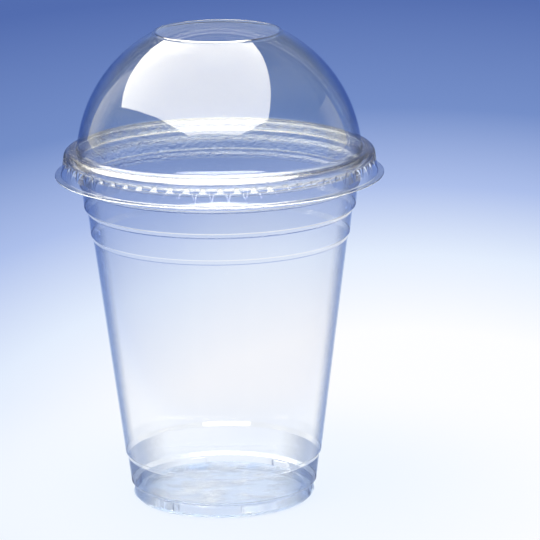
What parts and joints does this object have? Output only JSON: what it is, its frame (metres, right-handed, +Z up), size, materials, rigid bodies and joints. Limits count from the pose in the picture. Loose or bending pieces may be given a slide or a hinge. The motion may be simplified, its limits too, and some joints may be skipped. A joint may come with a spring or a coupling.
{
  "type": "plastic cup with lid",
  "caption": "Clear tapered drinks cup with a rolled rim, stepped wall and raised floor, and a clear domed lid that clips over the rim, with a round opening in its top.",
  "frame": {"origin": "centre of the foot ring, on the surface that the cup stands on", "axes": "+Z up along the cup's axis, -Y towards the side that the picture shows"},
  "size_m": [0.1026, 0.1026, 0.149],
  "materials": {
    "clear_cup": "clear thin formed PET sheet, glossy",
    "clear_lid": "clear thin formed PET sheet, glossy"
  },
  "bodies": {
    "cup": {"cup": "clear_cup"},
    "lid": {"dome_lid": "clear_lid"}
  },
  "joints": [
    {"name": "lid_lift", "type": "slide", "parent": "cup", "child": "lid", "axis": [0, 0, 1], "range_m": [0, 0.06]}
  ]
}
